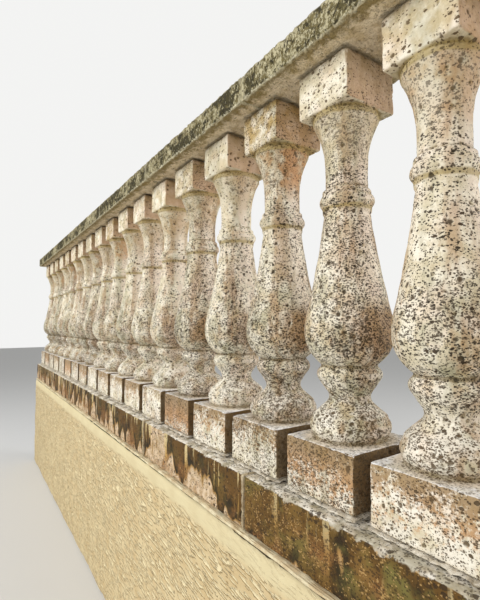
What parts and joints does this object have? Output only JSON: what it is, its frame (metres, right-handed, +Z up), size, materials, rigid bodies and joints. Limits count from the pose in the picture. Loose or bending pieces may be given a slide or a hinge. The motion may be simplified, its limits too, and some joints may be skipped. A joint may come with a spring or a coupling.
{
  "type": "stone balustrade",
  "caption": "Run of turned stone balusters between a base course and a flat coping rail, standing on a low rendered wall.",
  "frame": {"origin": "middle of the wall's foot, at the level of the ground", "axes": "+X along the run, +Y through its thickness, +Z up"},
  "size_m": [3.549, 0.219, 1.499],
  "materials": {
    "baluster_stone": "weathered, pitted",
    "rail_stone": "mossy, worn",
    "base_stone": "rain-streaked",
    "mortar": "trowelled lime mortar",
    "render_coat": "combed render"
  },
  "bodies": {
    "root": {"stucco_wall": "render_coat", "course_bed": "mortar", "base_stone_1": "base_stone", "base_stone_2": "base_stone", "base_stone_3": "base_stone", "base_stone_4": "base_stone", "base_stone_5": "base_stone", "base_stone_6": "base_stone", "base_joints": "mortar", "baluster_foot_beds": "mortar", "baluster_1": "baluster_stone", "baluster_2": "baluster_stone", "baluster_3": "baluster_stone", "baluster_4": "baluster_stone", "baluster_5": "baluster_stone", "baluster_6": "baluster_stone", "baluster_7": "baluster_stone", "baluster_8": "baluster_stone", "baluster_9": "baluster_stone", "baluster_10": "baluster_stone", "baluster_11": "baluster_stone", "baluster_12": "baluster_stone", "baluster_13": "baluster_stone", "baluster_14": "baluster_stone", "baluster_15": "baluster_stone", "baluster_16": "baluster_stone", "baluster_17": "baluster_stone", "baluster_18": "baluster_stone", "baluster_19": "baluster_stone", "baluster_head_beds": "mortar", "rail_stone_1": "rail_stone", "rail_stone_2": "rail_stone", "rail_stone_3": "rail_stone", "rail_stone_4": "rail_stone", "rail_stone_5": "rail_stone", "rail_stone_6": "rail_stone", "rail_joints": "mortar"}
  },
  "joints": []
}
